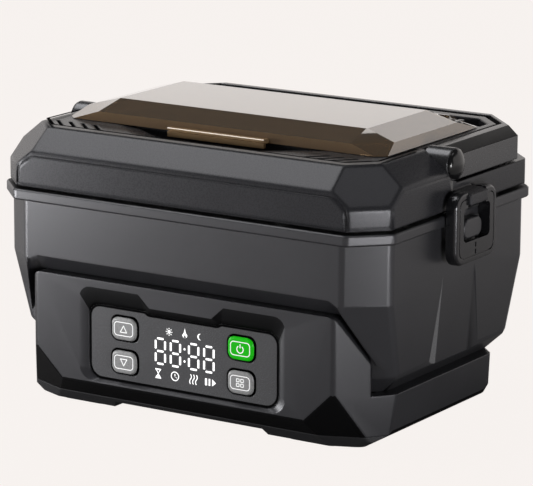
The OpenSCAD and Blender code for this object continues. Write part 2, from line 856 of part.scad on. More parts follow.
module thermal_fuse() {
    color("#d8d2c0") rod_x(-8, 8, liner_y + 24, plate_z - 2.5, 2.5);
}

module temperature_sensor() {
    color("#d5d7d9") translate([0, liner_y, 0]) {
        rod_z(0, 0, plate_z - 6, liner_z - 0.2, sensor_r);
        rod_z(0, 0, plate_z - 10, plate_z - 5.9, 3.2);
    }
}

// Points of one ring of the wire round a helix
function helix_ring(a, r, wire, z0, pitch, sides) = [
    for (k = [0 : sides - 1])
        let (q = 360 * k / sides)
        [(r + wire * cos(q)) * cos(a), (r + wire * cos(q)) * sin(a), z0 + pitch * a / 360 + wire * sin(q)]
];

module sensor_spring() {
    turns = 5;
    wire = 0.5;
    z0 = split_z + wire;
    z1 = plate_z - 6 - wire;
    turn_steps = 14;
    color(steel) translate([0, liner_y, 0])
        loft([
            for (i = [turns * turn_steps : -1 : 0])
                helix_ring(360 * i / turn_steps, 4.6, wire, z0, (z1 - z0) / turns, 6)
        ]);
}

function drawn_ring(half_x, half_y, r, z) =
    level(round_rect(-half_x, half_x, liner_y - half_y, liner_y + half_y, r), z);

module food_container() {
    r = container_r;
    foot_in = 5;
    top = step_z + 1.2;
    s = container_sheet;
    color(steel) difference() {
        union() {
            loft([
                drawn_ring(container_half - foot_in, container_half_d - foot_in, r - foot_in, container_z),
                drawn_ring(container_half - 1.2, container_half_d - 1.2, r - 1.2, container_z + foot_in),
                drawn_ring(container_half, container_half_d, r, step_z + 0.1)
            ]);
            loft([
                drawn_ring(container_rim_half, container_rim_half_d, r + 3, step_z),
                drawn_ring(container_rim_half, container_rim_half_d, r + 3, top)
            ]);
        }
        loft([
            drawn_ring(container_half - foot_in - s, container_half_d - foot_in - s, r - foot_in - s, container_z + s),
            drawn_ring(container_half - 1.2 - s, container_half_d - 1.2 - s, r - 1.2 - s, container_z + foot_in),
            drawn_ring(container_half - s, container_half_d - s, r - s, top + 0.01)
        ]);
    }
}

module container_lid() {
    r = container_r + 3;
    z0 = step_z + 1.2;
    color("#8d9094") difference() {
        loft([
            drawn_ring(container_rim_half, container_rim_half_d, r, z0),
            drawn_ring(container_rim_half, container_rim_half_d, r, z0 + 3),
            drawn_ring(container_rim_half - 6, container_rim_half_d - 6, r - 6, z0 + 3.4),
            drawn_ring(container_rim_half - 9, container_rim_half_d - 9, r - 9, z0 + 5.8)
        ]);
        loft([
            drawn_ring(container_half - 12, container_half_d - 12, r - 13, z0 - 0.01),
            drawn_ring(container_half - 14, container_half_d - 14, r - 15, z0 + 3.6)
        ]);
        rod_z(0, liner_y, z0, z0 + 10, 4);
    }
}

module container_seal() {
    seal_half = container_half - container_sheet - slip;
    seal_half_d = container_half_d - container_sheet - slip;
    seal_r = container_r - container_sheet - slip;
    lip = 4;
    z0 = step_z - 2;
    z1 = step_z + 1.2;
    color("#d9d9d6") difference() {
        loft([drawn_ring(seal_half, seal_half_d, seal_r, z0), drawn_ring(seal_half, seal_half_d, seal_r, z1)]);
        loft([
            drawn_ring(seal_half - lip, seal_half_d - lip, seal_r - lip, z0 - over),
            drawn_ring(seal_half - lip, seal_half_d - lip, seal_r - lip, z1 + over)
        ]);
    }
}

module steam_plug() {
    z0 = step_z + 1.2;
    color("#d9d9d6") translate([0, liner_y, 0]) {
        rod_z(0, 0, z0 + 1, z0 + 5.9, 3.9);
        rod_z(0, 0, z0 + 5.8, z0 + 8.4, 8);
    }
}

// ---- lid ----

front_fall = atan2(front_slant, lid_h - front_crease);
side_fall = atan2(side_slant, lid_h - side_crease);
corner_fall = 42.9;

module lid_form(t, z0, z1) {
    cx = lid_x - lid_corner / 2;
    cy = lid_y - lid_corner / 2;
    faces = concat(
        [
            face([0, -lid_y, 0], -90), face([0, lid_y, 0], 90), face([0, -lid_y, rim_z + front_crease], -90, -front_fall),
            [[0, 0, 1], top_z]
        ],
        [
            for (sx = [-1, 1])
                let (az = sx < 0 ? 180 : 0)
                each [
                    face([sx * lid_x, 0, 0], az), face([sx * lid_x, 0, rim_z + side_crease], az, -side_fall),
                    face([sx * cx, -cy, 0], az - sx * 45),
                    face([sx * cx, -cy, rim_z + corner_crease], az - sx * 45, -corner_fall),
                    face([sx * cx, cy, 0], az + sx * 45)
                ]
        ]
    );
    intersection() {
        behind(softened(faces, t > 1 ? 0 : lid_soft), t);
        chamfered(lid_x + over, lid_y + over, lid_corner, z0, z1 + 10, over + 0.6);
        translate([-lid_x, -lid_y, z0]) cube([2 * lid_x, 2 * lid_y, z1 - z0]);
    }
}

// Space that the handle's arms, hubs and crossbar lie and turn in, grown by t
module handle_space(t) {
    difference() {
        translate([-reach / 2, pivot_y, notch_z - t]) cube([reach, reach, lid_h]);
        prism(oct2(core_half - t, reach / 2, core_back - t, 10, core_corner - corner_k * t), 0, reach);
    }
    both_sides() {
        rod_x(core_half - t, rim_w, pivot_y, hub_z, hub_r + 0.5 + t);
        intersection() {
            rod_x(core_half - t, rim_w, pivot_y, hub_z, hub_r + 2.6 + t);
            translate([0, pivot_y - 50, hub_z + 4]) cube([reach, 50, 50]);
        }
    }
}

module well(t, over_top)
    prism(round_rect(-well_half - t, well_half + t, -well_front - t, well_back + t, 6 + t),
        well_z - t, top_z + over_top);

// Finger scoop in front of the cover's tab: a deep pocket between shallow slopes
module scoop(t) {
    back = 1.5 - cover_front + t;
    front = cover_front + 18.9 + t;
    deep_front = cover_front + 9.5 + t;
    half = tab_half + t;
    deep = 5.5;
    loft([
        level([[-half - 9, back], [4 - half, -deep_front], [half - 4, -deep_front], [half + 9, back]], top_z - deep - t),
        level([[-half - 23, back], [2 - half, 0.6 - front], [half - 2, 0.6 - front], [half + 23, back]],
            top_z - 1.2 - t),
        level([[-half - 39, back], [-half - 15, -front], [half + 15, -front], [half + 39, back]], top_z + 0.01)
    ]);
}

module hinge_recess(t, over_top)
    prism(oct2(core_half - 4 + t, -recess_front + t, recess_back + t, 0, core_corner - 4),
        recess_z - t, top_z + over_top);

module vent_slots() {
    first = lid_x - 52.2;
    both_sides() for (i = [0 : vent_count - 1])
        translate([first + vent_pitch * i, 27.75 - lid_y, top_z - 2 * wall]) rotate(45)
            linear_extrude(2 * wall + over) slot_shape(vent_len, vent_w);
}

module at_lid_screws() {
    x = lid_x - 63;
    for (side = [-1, 1]) {
        translate([side * x, 11.5 - lid_y, 0]) children(0);
        translate([side * x, recess_back - 12, 0]) children($children - 1);
    }
}

// Fine grooves that frame the lower panels of the lid's front and sides, and
// a bead line along the foot of the front and its corners
module lid_grooves() {
    w = 0.9;
    deep = 0.6;
    front_w = 1.8;
    front_deep = 1;
    low = lid_z - 20;
    half = lid_x - 17.5;
    front = rim_z + front_crease - 0.4;
    side = rim_z + side_crease - 0.4;
    side_y = 17.65 - lid_y;
    difference() {
        front_prism(round_rect(-half, half, low, front, 11), -lid_y - over, front_deep - lid_y);
        front_prism(round_rect(front_w - half, half - front_w, low, front - front_w, 11 - front_w),
            -lid_y - 2 * over, lid_y);
    }
    both_sides() difference() {
        side_prism(round_rect(side_y, rim_w, low, side, 10), lid_x - deep, lid_x + over);
        side_prism(round_rect(side_y + w, rim_w, low, side - w, 10 - w), 0, lid_x + 2 * over);
        translate([0, pivot_y - hub_r, 0]) cube([2 * lid_x, 2 * lid_x, 2 * top_z]);
    }
    difference() {
        translate([-lid_x - over, -lid_y - over, lid_z + 1]) cube([2 * (lid_x + over), lid_corner + over, 0.5]);
        lid_form(0.5, lid_z, top_z);
    }
}

module latch_knuckle() {
    foot = lid_x - wall / 2;
    front_prism([
        [foot, rim_z + 4.8], [knuckle_x, rim_z + 4.8], [knuckle_x, rim_z + 10.2],
        [knuckle_x - 3.6, rim_z + latch_top - 0.4], [foot, rim_z + latch_top - 0.4]
    ], -knuckle_half, knuckle_half);
}

lug_w = 3;
lug_x = [38, 84];
module cover_lugs() {
    for (x = lug_x) translate([x, rod_y - barrel_r, recess_z - 0.5])
        cube([lug_w, 2 * barrel_r, rod_z + barrel_r - recess_z + 0.5]);
}

module lid_shell() {
    post_r = 3.6;
    color(black) difference() {
        union() {
            difference() {
                lid_form(0, lid_z, top_z);
                handle_space(0);
                difference() {
                    lid_form(wall, lid_z - over, top_z - wall);
                    handle_space(wall);
                    well(wall, 0);
                    scoop(wall);
                    hinge_recess(wall, 0);
                }
                well(0, over);
                scoop(0);
                hinge_recess(0, over);
                vent_slots();
                lid_grooves();
            }
            both_sides() {
                latch_knuckle();
                cover_lugs();
                // Boss behind the wall for the pivot pin
                rod_x(core_half - 12, core_half - wall / 2, pivot_y, hub_z, pin_r + 2.5);
            }
            intersection() {
                at_lid_screws() {
                    rod_z(0, 0, inner_z + inner_t, top_z - wall / 2, post_r);
                    rod_z(0, 0, inner_z + inner_t, recess_z - wall / 2, post_r);
                }
                lid_form(wall / 2, lid_z, top_z);
            }
        }
        both_sides() {
            rod_y(-knuckle_half - over, knuckle_half + over, latch_pin_x, latch_pin_z, latch_pin_r + 0.02);
            rod_x(lug_x[0] - over, lug_x[1] + lug_w - 1, rod_y, rod_z, rod_r + 0.02);
            rod_x(core_half - 11, core_half + over, pivot_y, hub_z, pin_r + 0.02);
        }
        at_lid_screws() rod_z(0, 0, inner_z, inner_z + 12, 1.3);
    }
}

module lid_inner_panel() {
    inset = wall + slip;
    color("#3a3b3d") difference() {
        prism(oct(lid_x - inset, lid_y - inset, lid_corner - corner_k * inset), inner_z, inner_z + inner_t);
        rod_z(0, liner_y, inner_z - over, inner_z + inner_t + over, 6);
        at_lid_screws() rod_z(0, 0, inner_z - over, inner_z + inner_t + over, 1.6);
    }
}

module lid_seal() {
    color("#d9d9d6") difference() {
        liner_solid(9.5, rim_z + slip, inner_z);
        liner_solid(6.5, rim_z - over, inner_z + over);
    }
}

module lid_screws() {
    color(steel) at_lid_screws() union() {
        rod_z(0, 0, inner_z - 1.2, inner_z, 3);
        rod_z(0, 0, inner_z - 0.1, inner_z + 11, 1.25);
    }
}

// ---- cover ----

function cover_ring(x, yf, yb, cfx, cfy, cbx, cby, z) = [
    [x - cfx, -yf, z], [x, cfy - yf, z], [x, yb - cby, z], [x - cbx, yb, z],
    [cbx - x, yb, z], [-x, yb - cby, z], [-x, cfy - yf, z], [cfx - x, -yf, z]
];

// Faceted dome: upright foot, ridge with wide corner facets, flat top
module dome(t, z0) {
    loft([
        cover_ring(cover_half - t, cover_front - t, cover_back - t, 5, 5, 3, 3, z0),
        cover_ring(cover_half - 3.5 - t, cover_front - 2 - t, cover_back - 0.5 - t,
            17, 15.5, 26, 19, cover_z + ridge_h - t / 2),
        cover_ring(cover_half - dome_step - t / 2, cover_front - 20.5 - t / 2, cover_back - 20.5 - t / 2,
            0.5, 0.5, 0.5, 0.5, cover_z + dome_h - t)
    ]);
}

module top_cover() {
    tab_front = cover_front + 5;
    lip_z = top_z + 2.9;
    slot_z = top_z + 0.9;
    foot_z = top_z - 2;
    barrel = [lug_x[0] + lug_w + 0.4, lug_x[1] - 0.4];
    color("#8a7a62", 0.6) difference() {
        union() {
            difference() {
                dome(0, cover_z);
                dome(cover_t, cover_z - 0.01);
            }
            // Front tab with a raised lip over a fine slot
            side_prism([
                [0.9 - cover_front, cover_z], [0.9 - cover_front, lip_z - 0.6], [-cover_front - 1, lip_z],
                [0.6 - tab_front, lip_z], [-tab_front, lip_z - 0.4], [-tab_front, slot_z + 0.6],
                [1.3 - tab_front, slot_z + 0.5], [1.3 - tab_front, slot_z], [0.2 - tab_front, slot_z - 0.1],
                [0.2 - tab_front, foot_z], [2 - tab_front, foot_z], [2.3 - tab_front, cover_z]
            ], -tab_half, tab_half);
            both_sides() {
                rod_x(barrel[0], barrel[1], rod_y, rod_z, barrel_r);
                side_prism([
                    [cover_back - cover_t, cover_z], [cover_back - 0.2, cover_z],
                    [rod_y, rod_z + barrel_r - 1.2], [rod_y + 1.5, rod_z + barrel_r - 0.6],
                    [rod_y - 1, cover_z + 2.6], [cover_back - 1, cover_z + ridge_h - 0.4],
                    [cover_back - cover_t, cover_z + ridge_h - 0.4]
                ], barrel[0], barrel[1]);
            }
        }
        both_sides() rod_x(barrel[0] - over, barrel[1] + over, rod_y, rod_z, rod_r + play);
    }
}

module cover_hinge_rod() {
    color(steel) both_sides() rod_x(lug_x[0] + 0.2, lug_x[1] + lug_w - 1.2, rod_y, rod_z, rod_r);
}

// ---- handle ----

arm_foot = hub_z - hub_r;
module carry_handle() {
    shoulder = 3.5;
    side_chamfer = 9.8;
    back_chamfer = 0.5;
    color(black) difference() {
        union() {
            intersection() {
                difference() {
                    loft([
                        level(oct2(arm_out, 40, bar_back, 5, bail_corner), arm_foot),
                        level(oct2(arm_out, 40, bar_back, 5, bail_corner), top_z - shoulder),
                        level(oct2(arm_out - side_chamfer, 40, bar_back - back_chamfer, 5, bail_corner - 7.7), top_z)
                    ]);
                    prism(oct2(arm_in, 80, bar_in, 10, bail_corner - 14.2), 0, reach);
                }
                translate([-reach / 2, pivot_y, 0]) cube(reach);
            }
            both_sides() rod_x(arm_in, arm_out, pivot_y, hub_z, hub_r);
        }
        both_sides() rod_x(arm_in - over, arm_out + over, pivot_y, hub_z, pin_r + play);
    }
}

module pivot_pins() {
    color(steel) both_sides() rod_x(core_half - 10.8, arm_out - 0.4, pivot_y, hub_z, pin_r);
}

module pivot_caps() {
    bulge = 3;
    foot = 1.2;
    sphere_r = (cap_r * cap_r + bulge * bulge) / (2 * bulge);
    color(dark) both_sides() translate([arm_out, pivot_y, hub_z]) rotate([0, 90, 0]) {
        cylinder(r = cap_r, h = foot);
        intersection() {
            translate([0, 0, foot - 0.01]) cylinder(r = cap_r, h = bulge + 0.01);
            translate([0, 0, foot + bulge - sphere_r]) sphere(r = sphere_r, $fn = 64);
        }
    }
}

// ---- latches ----

function latch_ring(inset, x) =
    side_ring(round_rect(inset - latch_w / 2, latch_w / 2 - inset, latch_mid_z - latch_h / 2 + inset,
        latch_mid_z + latch_h / 2 - inset, 8 - inset), x);

module latch() {
    edge = 1.7;
    bore_half = latch_w / 2 - 2;
    difference() {
        loft([
            latch_ring(0.6, latch_x), latch_ring(0, latch_x + 0.6),
            latch_ring(0, latch_front - edge), latch_ring(0.6, latch_front - 0.5), latch_ring(edge, latch_front)
        ]);
        // Fine groove inside the rounded rim
        difference() {
            loft([latch_ring(3.4, latch_front - 0.6), latch_ring(3.4, latch_front + over)]);
            loft([latch_ring(4.2, latch_front - over), latch_ring(4.2, latch_front + 2 * over)]);
        }
        side_prism(round_rect(-window_half, window_half, window_bottom, window_top, 3), latch_x - over, latch_front + over);
        // Two small pits in the lower bar
        for (z = [rim_z - 17.9, rim_z - 21.7])
            translate([latch_front - 0.6, -1, z]) rotate([90, 0, 90]) linear_extrude(over + 0.6)
                rotate(90) slot_shape(2.8, 1.7);
        // Space round the lid's knuckle
        translate([latch_x - over, -knuckle_half - 0.4, window_top - 3])
            cube([latch_t + 2 * over, 2 * knuckle_half + 0.8, 40]);
        // Way for the catch behind the lower bar
        translate([latch_x - over, -catch_half - 0.6, latch_mid_z - latch_h])
            cube([catch_x + 0.5 - latch_x + over, 2 * catch_half + 1.2, window_bottom + 1 - latch_mid_z + latch_h]);
        rod_y(-bore_half, bore_half, latch_pin_x, latch_pin_z, latch_pin_r + play);
    }
}

module latch_right() color(black) latch();
module latch_left() color(black) mirror([1, 0, 0]) latch();

module latch_pins() {
    reach = latch_w / 2 - 2.2;
    color(steel) both_sides() rod_y(-reach, reach, latch_pin_x, latch_pin_z, latch_pin_r);
}

tub_shell();
base_housing();
bottom_cover();
foot_pads();
bottom_screws();
control_panel();
display_module();
control_board();
key_mat();
button_up();
button_down();
button_power();
button_menu();
power_inlet();
inlet_pins();
power_board();
relay();
capacitor();
transformer();
inner_liner();
heating_plate();
heating_element();
thermal_fuse();
temperature_sensor();
sensor_spring();
food_container();
container_lid();
container_seal();
steam_plug();
lid_shell();
lid_inner_panel();
lid_seal();
lid_screws();
top_cover();
cover_hinge_rod();
carry_handle();
pivot_pins();
pivot_caps();
latch_left();
latch_right();
latch_pins();
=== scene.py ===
"""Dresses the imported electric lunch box: mouldings, tinted cover, lit panel, metal, studio light and camera."""

from math import cos, pi, radians, sin

import bmesh
import bpy
from mathutils import Matrix, Vector


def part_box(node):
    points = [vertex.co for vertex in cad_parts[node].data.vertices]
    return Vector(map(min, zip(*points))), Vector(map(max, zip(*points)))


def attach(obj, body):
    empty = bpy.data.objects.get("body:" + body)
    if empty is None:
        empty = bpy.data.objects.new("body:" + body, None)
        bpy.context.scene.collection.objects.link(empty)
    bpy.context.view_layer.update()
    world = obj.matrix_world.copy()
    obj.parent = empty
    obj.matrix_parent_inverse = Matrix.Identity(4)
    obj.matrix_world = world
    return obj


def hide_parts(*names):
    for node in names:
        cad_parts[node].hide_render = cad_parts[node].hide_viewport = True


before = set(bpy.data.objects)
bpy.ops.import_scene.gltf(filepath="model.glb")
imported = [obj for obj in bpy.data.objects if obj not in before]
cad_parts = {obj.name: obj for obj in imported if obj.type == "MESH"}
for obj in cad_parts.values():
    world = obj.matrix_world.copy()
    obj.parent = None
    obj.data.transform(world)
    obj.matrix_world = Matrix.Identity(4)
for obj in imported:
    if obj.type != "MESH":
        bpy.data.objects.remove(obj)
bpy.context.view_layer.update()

MM = 0.001

# The rim's top face, which the camera and the panel graphics are set out from
RIM_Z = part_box("tub_shell")[1].z
PANEL_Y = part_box("control_panel")[0].y


# ---- camera ----

CAMERA_AZIMUTH = radians(32.5)
CAMERA_ELEVATION = radians(12.957)
CAMERA_ROLL = radians(0.3)
CAMERA_DISTANCE = 1.8323
CAMERA_LENS = 222.9
CAMERA_TARGET = Vector((-0.000156, 0, RIM_Z - 0.034486))


def make_camera():
    """Long lens from the front right, a little above the box."""
    data = bpy.data.cameras.new("camera")
    data.lens = CAMERA_LENS
    data.sensor_width = 36
    data.clip_start, data.clip_end = 0.1, 20
    camera = bpy.data.objects.new("camera", data)
    bpy.context.scene.collection.objects.link(camera)
    back = Vector((
        sin(CAMERA_AZIMUTH) * cos(CAMERA_ELEVATION),
        -cos(CAMERA_AZIMUTH) * cos(CAMERA_ELEVATION),
        sin(CAMERA_ELEVATION),
    ))
    camera.location = CAMERA_TARGET + back * CAMERA_DISTANCE
    turn = (-back).to_track_quat("-Z", "Y").to_matrix() @ Matrix.Rotation(CAMERA_ROLL, 3, "Z")
    camera.rotation_euler = turn.to_euler()
    bpy.context.scene.camera = camera


# ---- materials ----


def new_material(name):
    material = bpy.data.materials.new(name)
    material.use_nodes = True
    return material, material.node_tree, material.node_tree.nodes["Principled BSDF"]


def object_noise(tree, scale, detail=2.0, stretch=(1, 1, 1)):
    """Noise on the piece's own coordinates."""
    coords = tree.nodes.new("ShaderNodeTexCoord")
    mapping = tree.nodes.new("ShaderNodeMapping")
    mapping.inputs["Scale"].default_value = stretch
    noise = tree.nodes.new("ShaderNodeTexNoise")
    noise.inputs["Scale"].default_value = scale
    noise.inputs["Detail"].default_value = detail
    tree.links.new(coords.outputs["Object"], mapping.inputs["Vector"])
    tree.links.new(mapping.outputs["Vector"], noise.inputs["Vector"])
    return noise.outputs["Fac"]


def remap(tree, value, low, high, clip=(0.3, 0.7)):
    """A noise value stretched from clip to the range low..high."""
    node = tree.nodes.new("ShaderNodeMapRange")
    node.inputs["From Min"].default_value = clip[0]
    node.inputs["From Max"].default_value = clip[1]
    node.inputs["To Min"].default_value = low
    node.inputs["To Max"].default_value = high
    tree.links.new(value, node.inputs["Value"])
    return node.outputs["Result"]


def tint(tree, value, dark, light):
    """Colour between dark and light, chosen by a value from 0 to 1."""
    node = tree.nodes.new("ShaderNodeMix")
    node.data_type = "RGBA"
    node.inputs["A"].default_value = (*dark, 1)
    node.inputs["B"].default_value = (*light, 1)
    tree.links.new(value, node.inputs["Factor"])
    return node.outputs["Result"]


def bump(tree, shader, height, distance, edge_radius):
    """Surface grain of the given depth, over edges that shade as if rounded by edge_radius."""
    rounding = tree.nodes.new("ShaderNodeBevel")
    rounding.samples = 6
    rounding.inputs["Radius"].default_value = edge_radius
    node = tree.nodes.new("ShaderNodeBump")
    node.inputs["Distance"].default_value = distance
    tree.links.new(height, node.inputs["Height"])
    tree.links.new(rounding.outputs["Normal"], node.inputs["Normal"])
    tree.links.new(node.outputs["Normal"], shader.inputs["Normal"])


def moulded_black(name, grey, rough, grain_height, ior=1.48, edge_radius=0.001):
    """Black plastic from a spark-eroded mould: fine grain, faint cloudiness, roughness that wanders a little."""
    material, tree, shader = new_material(name)
    cloud = object_noise(tree, 22, 3)
    grain = object_noise(tree, 1700, 1)
    dark, light = [tuple(c * k for c in grey) for k in (0.9, 1.1)]
    tree.links.new(tint(tree, remap(tree, cloud, 0, 1), dark, light), shader.inputs["Base Color"])
    tree.links.new(remap(tree, grain, rough - 0.04, rough + 0.04), shader.inputs["Roughness"])
    shader.inputs["IOR"].default_value = ior
    shader.inputs["Specular Tint"].default_value = (0.95, 0.95, 1, 1)
    bump(tree, shader, grain, grain_height, edge_radius)
    return material


def plain_finish(name, colour, rough, metallic=0.0, scale=300, spread=0.06, stretch=(1, 1, 1)):
    """A smooth or brushed surface with small streaks or clouds in its roughness and colour."""
    material, tree, shader = new_material(name)
    streaks = object_noise(tree, scale, 3, stretch)
    dark, light = [tuple(min(1, c * k) for c in colour) for k in (0.94, 1.06)]
    tree.links.new(tint(tree, remap(tree, streaks, 0, 1), dark, light), shader.inputs["Base Color"])
    tree.links.new(remap(tree, streaks, max(0.02, rough - spread), rough + spread), shader.inputs["Roughness"])
    shader.inputs["Metallic"].default_value = metallic
    return material


def tinted_clear(name, colour, clear):
    """Tinted clear plastic with a polished face that hides very faint moulding ripples."""
    material, tree, shader = new_material(name)
    cloud = object_noise(tree, 14, 2)
    dark, light = [tuple(c * k for c in colour) for k in (0.93, 1.07)]
    tree.links.new(tint(tree, remap(tree, cloud, 0, 1), dark, light), shader.inputs["Base Color"])
    ripple = object_noise(tree, 30, 1)
    tree.links.new(remap(tree, ripple, 0.03, 0.06), shader.inputs["Roughness"])
    shader.inputs["Transmission Weight"].default_value = clear
    shader.inputs["IOR"].default_value = 1.58
    shader.inputs["Coat Weight"].default_value = 1
    shader.inputs["Coat Roughness"].default_value = 0.03
    return material


def glowing_white(name, low, high):
    """White that glows, between low and high in strength from one patch of cloud to the next: the display's digits
    have a light behind them, on the key prints the glow is painted light.
    """
    material, tree, shader = new_material(name)
    shader.inputs["Base Color"].default_value = (0.8, 0.8, 0.8, 1)
    shader.inputs["Roughness"].default_value = 0.4
    shader.inputs["Emission Color"].default_value = (1, 1, 1, 1)
    tree.links.new(remap(tree, object_noise(tree, 200), low, high), shader.inputs["Emission Strength"])
    return material


def green_key_painted_glow():
    """Clear green keycap, with a weak painted glow that lifts its green."""
    material, tree, shader = new_material("green_key_painted_glow")
    cloud = object_noise(tree, 90, 2)
    tree.links.new(
        tint(tree, remap(tree, cloud, 0, 1), (0.008, 0.41, 0.005), (0.01, 0.47, 0.007)), shader.inputs["Base Color"]
    )
    shader.inputs["Roughness"].default_value = 0.28
    shader.inputs["IOR"].default_value = 1.3
    # Painted glow: weak green emission brightens the key's colour
    shader.inputs["Emission Color"].default_value = (0.01, 0.6, 0.005, 1)
    shader.inputs["Emission Strength"].default_value = 0.2
    return material


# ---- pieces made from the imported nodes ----


def merged_copy(node, name):
    """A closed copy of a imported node, its flat faces whole again."""
    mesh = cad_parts[node].data.copy()
    mesh.name = name
    bm = bmesh.new()
    bm.from_mesh(mesh)
    bmesh.ops.remove_doubles(bm, verts=bm.verts, dist=2e-6)
    bmesh.ops.dissolve_limit(bm, angle_limit=radians(0.6), verts=bm.verts, edges=bm.edges)
    return mesh, bm


def break_edges(bm, radius, min_angle, min_length):
    """Takes the sharpness off long hard edges, which then catch the light as on a real moulding."""
    edges = [
        e for e in bm.edges
        if len(e.link_faces) == 2 and e.calc_length() >= min_length and abs(e.calc_face_angle(0)) > min_angle
    ]
    bmesh.ops.bevel(
        bm, geom=edges, offset=radius, offset_type="OFFSET", segments=2,
        profile=0.5, affect="EDGES", clamp_overlap=True, material=-1,
    )


def finish_piece(mesh, bm, name, material, body, nodes=(), smooth=40):
    """Turns a bmesh into a piece that rides on a body, shaded smooth with its flat faces kept flat."""
    bm.normal_update()
    bm.to_mesh(mesh)
    bm.free()
    mesh.materials.clear()
    mesh.materials.append(material)
    piece = bpy.data.objects.new(name, mesh)
    bpy.context.scene.collection.objects.link(piece)
    for polygon in mesh.polygons:
        polygon.use_smooth = True
    mesh.set_sharp_from_angle(angle=radians(smooth))
    flat = piece.modifiers.new("flat_faces", "WEIGHTED_NORMAL")
    flat.keep_sharp = True
    flat.weight = 80
    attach(piece, body)
    if nodes:
        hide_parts(*nodes)
    return piece


def dressed(node, material, body, radius=0, min_angle=35, min_length=6, smooth=40):
    """A copy of a node with its long hard edges broken by radius, in millimetres."""
    mesh, bm = merged_copy(node, node + "_moulding")
    if radius:
        break_edges(bm, radius * MM, radians(min_angle), min_length * MM)
    return finish_piece(mesh, bm, node + "_moulding", material, body, [node], smooth)


def second_finish(piece, material, chosen):
    """Another material for the faces of a piece that chosen(face) picks out."""
    piece.data.materials.append(material)
    for polygon in piece.data.polygons:
        if chosen(polygon):
            polygon.material_index = len(piece.data.materials) - 1


def coat_nodes(material, *nodes):
    """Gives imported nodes, which keep their own shape, a material."""
    for node in nodes:
        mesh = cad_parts[node].data
        mesh.materials.clear()
        mesh.materials.append(material)


# ---- graphics of the panel and the keys ----

# Graphics are drawn in X and Z on a face that looks towards -Y, in millimetres.


def flat_polygon(bm, corners, radius=0.0, segments=4):
    """A face through corners, each rounded by radius, or by its own radius where that is a list."""
    verts = [bm.verts.new((x, 0, z)) for x, z in corners]
    bm.faces.new(verts)
    radii = radius if isinstance(radius, list) else [radius] * len(verts)
    for size in sorted(set(radii) - {0}):
        bmesh.ops.bevel(
            bm, geom=[v for v, r in zip(verts, radii) if r == size], offset=size, offset_type="OFFSET",
            segments=segments, profile=0.5, affect="VERTICES", clamp_overlap=True, material=-1,
        )


def box_corners(x, z, w, h):
    return [(x - w / 2, z - h / 2), (x + w / 2, z - h / 2), (x + w / 2, z + h / 2), (x - w / 2, z + h / 2)]


def bar(bm, x, z, w, h, radius):
    flat_polygon(bm, box_corners(x, z, w, h), radius)


def frame_line(bm, corners, radius, stroke):
    """Outline of a rounded polygon, stroke wide, inside its corners."""
    before = set(bm.faces)
    flat_polygon(bm, corners, radius, 6)
    face = [f for f in bm.faces if f not in before]
    bmesh.ops.inset_region(bm, faces=face, thickness=stroke, use_boundary=True, use_even_offset=True)
    bmesh.ops.delete(bm, geom=face, context="FACES")


def arc_band(bm, x, z, radius, stroke, start, sweep, steps=24):
    """Part of a ring round x, z, from the angle start over sweep, in degrees."""
    turn = radians(start)
    inner, outer = [
        bm.verts.new((x + r * cos(turn), 0, z + r * sin(turn))) for r in (radius - stroke / 2, radius + stroke / 2)
    ]
    edge = bm.edges.new((inner, outer))
    bmesh.ops.spin(
        bm, geom=[inner, outer, edge], cent=(x, 0, z), axis=(0, -1, 0), angle=radians(sweep),
        steps=steps, use_merge=abs(sweep) == 360, use_duplicate=False,
    )


def disc(bm, x, z, radius, shape=lambda px, pz: (px, pz)):
    """A disc round x, z, its outline pulled into another shape."""
    made = bmesh.ops.create_circle(bm, cap_ends=True, segments=32, radius=radius)
    for v in made["verts"]:
        px, pz = shape(v.co.x, v.co.y)
        v.co = (x + px, 0, z + pz)


def inlay(name, material, body, place, draw, depth=0.08, turned=None):
    """A thin raised print or lens, drawn by draw(bm) as if seen from the front, turned and moved to its place."""
    bm = bmesh.new()
    draw(bm)
    bmesh.ops.remove_doubles(bm, verts=bm.verts, dist=1e-4)
    bmesh.ops.recalc_face_normals(bm, faces=bm.faces)
    bmesh.ops.reverse_faces(bm, faces=[f for f in bm.faces if f.normal.y > 0])
    made = bmesh.ops.extrude_face_region(bm, geom=list(bm.faces))
    front = [v for v in made["geom"] if isinstance(v, bmesh.types.BMVert)]
    bmesh.ops.translate(bm, verts=front, vec=(0, -depth, 0))
    bmesh.ops.recalc_face_normals(bm, faces=bm.faces)
    bmesh.ops.scale(bm, verts=bm.verts, vec=(MM, MM, MM))
    if turned:
        bmesh.ops.rotate(bm, verts=bm.verts, cent=(0, 0, 0), matrix=turned)
    bmesh.ops.translate(bm, verts=bm.verts, vec=place)
    return finish_piece(bpy.data.meshes.new(name), bm, name, material, body, smooth=20)


# The display: four figures of seven segments, set out from the middle of the panel
DIGITS_X = 1.1
DIGITS_Z = RIM_Z / MM - 80.3
DIGIT_X = [DIGITS_X + x for x in (-15.6, -5.8, 6.0, 15.8)]
DIGIT_W = 6.1
DIGIT_H = 14
SEGMENT = 1.25


def digit(bm, x, z):
    """Figure eight of seven separate rounded bars."""
    for side in (-1, 1):
        for half in (-1, 1):
            bar(bm, x + side * DIGIT_W / 2, z + half * DIGIT_H / 4, SEGMENT, DIGIT_H / 2 - 2.1, 0.5)
    for row in (-1, 0, 1):
        bar(bm, x, z + row * DIGIT_H / 2, DIGIT_W - 1.8, SEGMENT - 0.1, 0.5)


def draw_digits(bm):
    for x in DIGIT_X:
        digit(bm, x, DIGITS_Z)
    for side in (-1, 1):
        disc(bm, DIGITS_X + 0.1, DIGITS_Z + side * 3.4, 0.65)


def draw_digit_fields(bm):
    for x in DIGIT_X:
        for half in (-1, 1):
            bar(bm, x, DIGITS_Z + half * DIGIT_H / 4, DIGIT_W - 3.6, DIGIT_H / 2 - 3.2, 0.2)


def teardrop(scale):
    """Pulls the top of a disc up to a point."""

    def shape(px, pz):
        up = max(0.0, pz) / scale
        return px * (1 - 0.75 * up), pz + 1.35 * scale * up ** 4

    return shape


